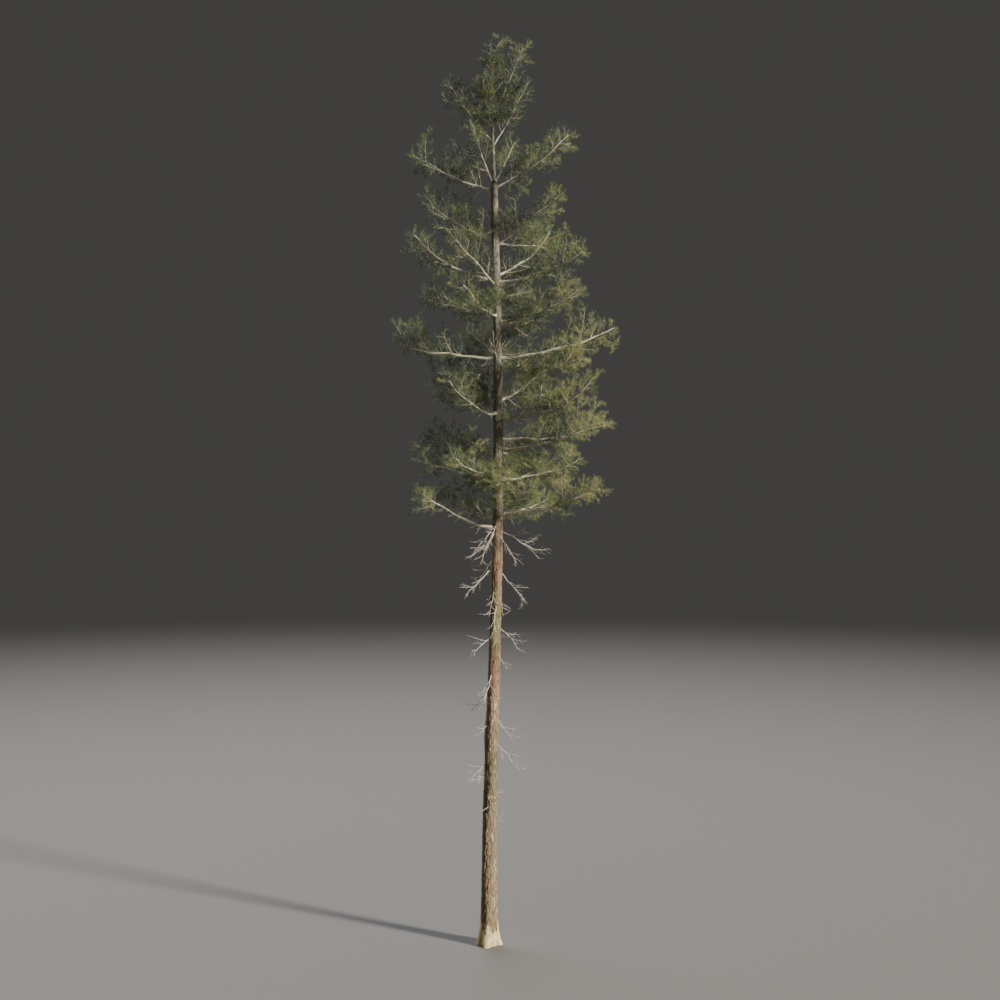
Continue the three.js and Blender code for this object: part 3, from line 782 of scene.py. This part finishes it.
def twig_point(twigs, share):
    """Points of twigs over shares[twig, stop] of their length: straight out, and curling up
    by the square of the share."""
    out = (twigs["length"][:, None] * share)[..., None]
    curl = (twigs["curl"][:, None] * share)[..., None] * np.array([0, 0, 1])
    return twigs["start"][:, None] + (twigs["direction"][:, None] + curl) * out


def twig_direction(twigs, share):
    """Directions of twigs at shares[twig, stop]: the slope of twig_point."""
    curl = 2 * (twigs["curl"][:, None] * share)[..., None] * np.array([0, 0, 1])
    along = twigs["direction"][:, None] + curl
    return along / np.linalg.norm(along, axis=-1, keepdims=True)


def side_twigs(limb, first=None, last=LAST_TWIG, size=1, more=1, offset=0, splits=TWIG_SPLIT):
    """The side twigs of a limb: evenly spaced past its bare part with some scatter, turned
    off it to alternate sides, and shorter towards its tip. Another stretch, size, crowding,
    seed and range of angles may be asked for."""
    first = limb["bare"] + FIRST_TWIG if first is None else first
    clad = length_between(limb["line"], first, last)
    count = max(3, round(clad * TWIGS_PER_METRE * more))
    i = np.arange(count)
    seed = limb["seed"] + offset
    share = first + (last - first) * (i + scatter(0, TWIG_LOOSE, seed, i)) / count
    split = np.radians(scatter(*splits, seed + 1, i))
    roll = np.radians(scatter(*TWIG_ROLL, seed + 2, i))
    direction = turned_off(direction_at(limb["line"], share), split,
                           np.where(i % 2 == 1, roll, np.pi - roll))
    length = (size * TWIG_LENGTH * limb["reach"] ** TWIG_GROWTH
              * scatter(*TWIG_SIZES, seed + 3, i) * (TWIG_FADES[0] - TWIG_FADES[1] * share))
    return twig_set(limb["line"](share), direction, length, curl=TWIG_CURL, outer=share,
                    radius=limb_radius(limb, share) * TWIG_GIRTH, seed=seed + 31 + i)


def dead_side_twigs(limb):
    """Short dead twigs on the bare part of a live limb, evenly spaced with some scatter and
    turned off it to any side, mostly below it."""
    clear = (stem_radius(limb["height"]) + SNAG_CLEAR) / limb["reach"]
    bare = max(limb["bare"], clear + 0.1)
    count = max(2, round((bare - clear) * limb["reach"] / SNAG_PITCH))
    i = np.arange(count)
    seed = limb["seed"] + 900
    share = clear + (bare - clear) * (i + scatter(0, SNAG_LOOSE, seed, i)) / count
    split = np.radians(scatter(*SNAG_SPLIT, seed + 1, i))
    around = np.radians(scatter(*SNAG_SIDE, seed + 2, i))
    direction = turned_off(direction_at(limb["line"], share), split, around)
    return twig_set(limb["line"](share), direction, scatter(*SNAG_LENGTH, seed + 3, i),
                    curl=scatter(*SNAG_CURL, seed, i + 9), radius=SNAG_RADIUS,
                    seed=seed + 31 + i, outer=share)


def merge(sets):
    """Several sets of twigs as one."""
    return {key: np.concatenate([one[key] for one in sets]) for key in sets[0]}


def twig_skin(twigs, rings, sides, tip_share=0.4):
    """Skins of twigs that narrow evenly to a share of their radius, then to a point."""
    share = np.broadcast_to(np.linspace(0, 1, rings), (len(twigs["length"]), rings))
    radii = twigs["radius"][:, None] * (1 - (1 - tip_share) * share)
    return tubes(twig_point(twigs, share), radii, sides)


def offshoots(parents, per_parent, shares, splits, lengths, seed):
    """Finer twigs on a set of twigs: the same number on each, evenly spaced over a range of
    its shares, to alternate sides, each a share of its parent's length."""
    i = np.arange(per_parent)[None] + np.zeros((len(parents["length"]), 1))
    parent_seed = parents["seed"][:, None]
    own = parent_seed + seed
    place = i + scatter(0, FORK_LOOSE, own, i)
    share = shares[0] + (shares[1] - shares[0]) * place / per_parent
    roll = np.radians(scatter(-FORK_ROLL, FORK_ROLL, own + 1, i))
    around = np.where((i + parent_seed) % 2 == 1, roll, np.pi - roll)
    split = np.radians(scatter(*splits, own + 2, i))
    direction = turned_off(twig_direction(parents, share), split, around)
    length = (parents["length"][:, None] * scatter(*lengths, own + 3, i)
              * (FORK_FADES[0] - FORK_FADES[1] * share))
    radius = parents["radius"][:, None] * TWIG_GIRTH * (1 - FORK_TAPER * share)
    return twig_set(
        twig_point(parents, share).reshape(-1, 3), direction.reshape(-1, 3), length.ravel(),
        curl=scatter(*FORK_CURL, own, i + 5).ravel(), seed=(parent_seed * 3 + 7 + i).ravel(),
        radius=np.maximum(FINEST_RADIUS, radius).ravel(),
        outer=np.repeat(parents["outer"], per_parent))


dead_limbs = []
for first_seed, step, rows in [(400, 19, [row[1:] for row in DEAD_LIMBS]), (700, 23, DEAD_STUBS)]:
    for i, (height, heading, reach, pitches) in enumerate(rows):
        seed = first_seed + step * i
        dead_limbs.append({
            "line": limb_line(height, heading, reach, pitches, DEAD_SWEEP, seed, DEAD_KINK),
            "height": height, "reach": reach, "girth": DEAD_GIRTH, "bare": DEAD_BARE,
            "seed": seed,
        })
dead_share = np.linspace(START, 1, DEAD_RINGS)
dead_twigs = merge([side_twigs(limb, **DEAD_TWIGS) for limb in dead_limbs])
dead_twigs["radius"] = np.maximum(DEAD_TWIG_RADIUS, dead_twigs["radius"])
dead_forks = offshoots(dead_twigs, *DEAD_FORKS, seed=11)
dead_forks["radius"] = np.full(len(dead_forks["length"]), DEAD_FORK_RADIUS)
snags = merge([dead_side_twigs(limb) for limb in limbs if limb["bare"] > SNAG_BARE])
dead_skins = [
    tubes(np.stack([limb["line"](dead_share) for limb in dead_limbs]),
          np.stack([limb_radius(limb, dead_share) for limb in dead_limbs]), DEAD_SIDES),
    twig_skin(dead_twigs, rings=5, sides=5), twig_skin(dead_forks, rings=3, sides=3),
    twig_skin(snags, rings=4, sides=4),
    twig_skin(offshoots(snags, *SNAG_FORKS, seed=12), rings=2, sides=3)]

# Weathered pine wood: the sun bleaches it silver-grey and rain opens fine checks along the
# grain, so it is rough and quite matt.
dead_finish, tree, shader = start_material(
    "weathered_pine_wood", Roughness=0.85, IOR=1.5, Specular_IOR_Level=0.25)
place = add_node(tree, "TexCoord").outputs["Object"]
checks = add_node(tree, "TexNoise", {
    "Vector": place, "Scale": per_metre(CHECK_SIZE), "Detail": 6, "Roughness": 0.7})
wood_colour = add_node(tree, "ValToRGB", {"Fac": checks}, DEAD_COLOURS)
bump = add_node(tree, "Bump", {"Height": checks, "Strength": 0.5, "Distance": 0.003})
connect(shader, {"Base Color": wood_colour, "Normal": bump})

dead_piece = add_mesh("dead_limbs", *join(dead_skins), dead_finish)
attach(dead_piece, "root")
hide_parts(*[f"dead_limb_{name}" for name, *_ in DEAD_LIMBS])

# ------------------------ Twigs
# Every live limb carries side twigs past its bare part, those carry branchlets in three
# rows, one above and one to each side, and those carry the shoots that the needles sit on.
# All are thin wood under pale bark.
BRANCHLET_PITCH = 0.082
BRANCHLET_LENGTH = 0.41
BRANCHLET_SIZES = (0.7, 1.15)
BRANCHLET_FADE = 0.3
BRANCHLET_LOOSE = 0.8
BRANCHLET_SPREAD = (0.06, 0.92)  # where along its twig the first stands, and over how much
BRANCHLET_ANGLE = (44, 62)  # degrees between a branchlet and its twig
BRANCHLET_ROWS = (90, -30, 210)  # degrees round the twig from the level
BRANCHLET_STRAY = 32
BRANCHLET_CURL = (0.0, 0.35)
BRANCHLET_RADIUS = 0.0045
SHOOTS = (3, (0.25, 0.85), (38, 58), (0.45, 0.75))  # as the forks of the dead twigs
SHOOT_RADIUS = 0.003
INNER_FROM = 0.28  # the first inner twig stands this near to the trunk's middle
INNER_SIZE = 0.62
INNER_CROWD = 0.8
INNER_ALSO = ("d_southwest", "d_southeast")  # the main boughs that are clad near the trunk too
STRETCHES = 6  # that the clad end of a limb is taken in, each a straight twig
CLAD_FROM = 0.3  # on the lesser limbs branchlets stand this near to the trunk's middle
# The leader's own small whorls: [height, length of the twigs].
LEADER_WHORLS = [(22.5, 0.55), (22.95, 0.5), (23.4, 0.42), (23.8, 0.36), (24.15, 0.28)]
TWIGS_IN_WHORL = 5
WHORL_TURN = 31  # degrees for each metre up, so that they don't stand in rows
WHORL_STRAY = 25
WHORL_PITCH = (30, 62)
WHORL_CURL = 0.25
WHORL_RADIUS = 0.009
WHORL_OUTER = 0.7  # they are as fresh as twigs this far out on a limb
REACH_MARGIN = 0.04
SPECK_SIZE = 40  # coarser than real leaf scars, so that they show
TWIG_COLOURS = [(0.35, "#90876f"), (0.65, "#c8c0a6")]


def limb_end(limb):
    """A limb's clad end as a set of straight twigs, one for each stretch of it."""
    first = limb["bare"] + FIRST_TWIG if limb["main"] else CLAD_FROM / limb["reach"]
    stops = np.linspace(first, 1, STRETCHES + 1)
    points = limb["line"](stops)
    spans = np.diff(points, axis=0)
    lengths = np.linalg.norm(spans, axis=-1)
    return twig_set(points[:-1], spans / lengths[:, None], lengths, curl=0.0, outer=stops[:-1],
                    radius=BRANCHLET_RADIUS, seed=limb["seed"] + 500 + np.arange(STRETCHES))


def branchlets(twigs, seed):
    """The branchlets of a set of twigs, at an even pitch along each. Their rows take turns
    and stray a little round the twig, and they are shorter towards its tip."""
    count = np.maximum(2, np.round(twigs["length"] / BRANCHLET_PITCH)).astype(int)
    parent = np.repeat(np.arange(len(count)), count)
    number = np.arange(len(parent)) - np.repeat(np.cumsum(count) - count, count)
    own = twigs["seed"][parent] + seed
    first, spread = BRANCHLET_SPREAD
    place = number + scatter(0, BRANCHLET_LOOSE, own, number)
    share = first + spread * place / count[parent]
    row = np.array(BRANCHLET_ROWS)[number % 3]
    around = np.radians(row + scatter(-BRANCHLET_STRAY, BRANCHLET_STRAY, own + 1, number))
    split = np.radians(scatter(*BRANCHLET_ANGLE, own + 2, number))
    parents = {key: value[parent] for key, value in twigs.items()}
    along = twig_direction(parents, share[:, None])[:, 0]
    return twig_set(
        twig_point(parents, share[:, None])[:, 0], turned_off(along, split, around),
        BRANCHLET_LENGTH * scatter(*BRANCHLET_SIZES, own + 3, number)
        * (1 - BRANCHLET_FADE * share),
        curl=scatter(*BRANCHLET_CURL, own, number + 7), radius=BRANCHLET_RADIUS,
        seed=own * 5 + number, outer=0.5 * parents["outer"] + 0.5 * share, patch=own)


def whorl_twigs():
    """The leader's small twigs: evenly spread round it at each height, with some scatter, and
    raised by their pitch, so a direction is (cos p cos h, cos p sin h, sin p)."""
    height, length = np.repeat(np.array(LEADER_WHORLS), TWIGS_IN_WHORL, axis=0).T
    i = np.arange(len(height))
    heading = np.radians(360 / TWIGS_IN_WHORL * i + WHORL_TURN * height
                         + scatter(-WHORL_STRAY, WHORL_STRAY, i, 3))
    pitch = np.radians(scatter(*WHORL_PITCH, i, 4))
    direction = np.stack([np.cos(pitch) * np.cos(heading), np.cos(pitch) * np.sin(heading),
                          np.sin(pitch)], -1)
    return twig_set(stem_centre(height), direction, length * scatter(*TWIG_SIZES, i, 5),
                    curl=WHORL_CURL, radius=WHORL_RADIUS, seed=3000 + 17 * i, outer=WHORL_OUTER)


def within_reach(twigs):
    """The twigs of a set whose tips lie inside the solids' box or just outside it."""
    tips = twig_point(twigs, np.ones((len(twigs["length"]), 1)))[:, 0]
    lowest, highest = (np.array(corner) for corner in cad_box)
    keep = ((tips > lowest - REACH_MARGIN) & (tips < highest + REACH_MARGIN)).all(axis=1)
    return {key: value[keep] for key, value in twigs.items()}


# The lesser limbs bear small twigs and branchlets on their inner part as well.
inner_twigs = [
    side_twigs(limb, INNER_FROM / limb["reach"], limb["bare"], INNER_SIZE, INNER_CROWD, 250)
    for limb in limbs
    if (not limb["main"] or limb["name"] in INNER_ALSO)
    and limb["bare"] * limb["reach"] > INNER_FROM + 0.1]
live_twigs = merge([side_twigs(limb) for limb in limbs] + inner_twigs + [whorl_twigs()])
limb_ends = [limb_end(limb) for limb in limbs]
sprigs = within_reach(branchlets(merge([live_twigs, *limb_ends]), seed=40))
shoots = offshoots(sprigs, *SHOOTS, seed=60)
shoots["spray"] = np.repeat(np.arange(len(sprigs["length"])), SHOOTS[0])
shoots["radius"] = np.full(len(shoots["length"]), SHOOT_RADIUS)
shoots = within_reach(shoots)

# Thin twig bark, ringed by the scars of fallen needles: pale grey-tan in darker specks, and
# without gloss.
twig_finish, tree, shader = start_material("pale_twig_bark", Roughness=0.75, IOR=1.45)
place = add_node(tree, "TexCoord").outputs["Object"]
specks = add_node(tree, "TexNoise", {
    "Vector": place, "Scale": per_metre(SPECK_SIZE), "Detail": 4})
twig_colour = add_node(tree, "ValToRGB", {"Fac": specks}, TWIG_COLOURS)
connect(shader, {"Base Color": twig_colour})

twig_piece = add_mesh(
    "twigs", *join([
        twig_skin(live_twigs, rings=6, sides=5), twig_skin(sprigs, rings=3, sides=3),
        twig_skin(shoots, rings=2, sides=3)]), twig_finish)
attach(twig_piece, "root")

# ------------------------ Needles
# Stiff paired leaves, a hand's width long and drawn broader than life, stand forward all
# round the outer part of every branchlet and shoot. Each spray is one colour, from old dark
# green inside the crown to fresh yellow-green at the tips, lighter to the east and darker to
# the west as painted light and shade.
NEEDLE_LENGTH = 0.105
NEEDLE_SIZES = (0.75, 1.12)
NEEDLE_FADE = 0.2
NEEDLE_WIDTH = 0.0048
NEEDLE_ANGLE = (58, 34)  # degrees off the shoot, at its foot and at its tip
NEEDLE_SPLAY = 10
NEEDLE_WAIST = 0.45  # where along a needle it is broadest
NEEDLE_BEND = 0.05
GOLDEN_ANGLE = 2.39996  # radians round the shoot from each needle to the next
SPIRAL_STRAY = 1.2
# How many needles there are on each, and over what shares of it.
NEEDLES_ON = {"sprig": (44, (0.3, 1)), "shoot": (27, (0.12, 1)), "twig": (60, (0.72, 1))}
# How much each thing counts when a spray is dealt its colour.
OWN_SHARE = 0.45
PATCH_SHARE = 0.85
OUTER_SHARE = 0.55
# Painted light and shade: sprays to the east get fresher, lighter greens and those to the west
# darker, bluer ones, partly as sun-grown needles are yellower.
PAINTED_SUN_EAST_SHARE = 0.10  # for each metre, as is the next
HEIGHT_SHARE = -0.02
# The greens, from old to fresh, and the part of the crown that each one fills.
NEEDLE_GREENS = {
    "dark_green": ("#2c3a25", 0.17),
    "blue_green": ("#3c4e3c", 0.19),
    "olive": ("#4a5730", 0.20),
    "grass_green": ("#566836", 0.20),
    "yellow_green": ("#6f7a42", 0.15),
    "straw_green": ("#8a8a55", 0.09),
}


def needles(bearing, per_bearer, shares):
    """Needles on twigs, as points[needle, corner] and a number for each needle's bearer.
    They sit in a tight spiral over a range of shares, leaning off it less towards the tip.
    Each is a slim diamond of two triangles, folded up a little across its middle."""
    count = len(bearing["length"])
    i = np.arange(per_bearer)[None] + np.zeros((count, 1))
    own = bearing["seed"][:, None] + 90
    stop = (i + scatter(0, 1, own, i)) / per_bearer
    share = shares[0] + (shares[1] - shares[0]) * stop
    lean = np.radians(NEEDLE_ANGLE[0] + (NEEDLE_ANGLE[1] - NEEDLE_ANGLE[0]) * stop
                      + scatter(-NEEDLE_SPLAY, NEEDLE_SPLAY, own + 1, i))
    around = GOLDEN_ANGLE * i + scatter(0, SPIRAL_STRAY, own + 2, i)
    direction = turned_off(twig_direction(bearing, share), lean, around)
    start = twig_point(bearing, share)
    length = NEEDLE_LENGTH * scatter(*NEEDLE_SIZES, own + 3, i) * (1 - NEEDLE_FADE * stop)
    edgeways = turned_off(direction, np.full(i.shape, np.pi / 2), own + i) * NEEDLE_WIDTH / 2
    half = start + direction * (NEEDLE_WAIST * length)[..., None]
    half[..., 2] += NEEDLE_BEND * length
    corners = np.stack([start, half - edgeways, half + edgeways,
                        start + direction * length[..., None]], axis=2)
    bearer = np.broadcast_to(np.arange(count)[:, None], i.shape)
    return corners.reshape(-1, 4, 3), bearer.ravel()


def dealt(twigs):
    """The number of each twig's colour. A draw of its own and one that it shares with its
    neighbours are nudged from old to fresh as the twig stands further out and lower in the
    crown, and nearer to the east, where the key light falls: painted light on the east side and
    painted shade on the west, partly the yellower green of sun-grown needles. The draws in
    order fill each colour's part in turn."""
    east, _, height = twigs["start"].T
    draw = (OWN_SHARE * scatter(0, 1, twigs["seed"], 17)
            + PATCH_SHARE * scatter(0, 1, twigs.get("patch", twigs["seed"]), 19)
            + OUTER_SHARE * twigs["outer"] + PAINTED_SUN_EAST_SHARE * east + HEIGHT_SHARE * height)
    place = np.argsort(np.argsort(draw)) / len(draw)
    parts = np.array([part for _, part in NEEDLE_GREENS.values()])
    return np.searchsorted(np.cumsum(parts)[:-1], place)


sprig_colours = dealt(sprigs)
tufts = [
    (*needles(sprigs, *NEEDLES_ON["sprig"]), sprig_colours),
    (*needles(shoots, *NEEDLES_ON["shoot"]), sprig_colours[shoots["spray"]]),
    (*needles(live_twigs, *NEEDLES_ON["twig"]), dealt(live_twigs)),
]
corners = np.concatenate([made for made, _, _ in tufts])
colours = np.concatenate([greens[bearer] for _, bearer, greens in tufts])
masses = [f"foliage_{limb['name']}" for limb in limbs]
for k, (green, (hex_colour, _)) in enumerate(NEEDLE_GREENS.items()):
    # Pine needles have a waxy skin: a low even gloss over one plain green.
    finish, tree, shader = start_material(
        f"waxy_needle_{green}", Roughness=0.5, IOR=1.45, Base_Color=linear(hex_colour))
    own = corners[colours == k]
    first = 4 * np.arange(len(own))[:, None]
    triangles = np.concatenate([first + (0, 2, 1), first + (1, 2, 3)])
    piece = add_mesh(f"needles_{green}", own.reshape(-1, 3), triangles, finish, smooth=False)
    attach(piece, "root")
    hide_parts(*masses)
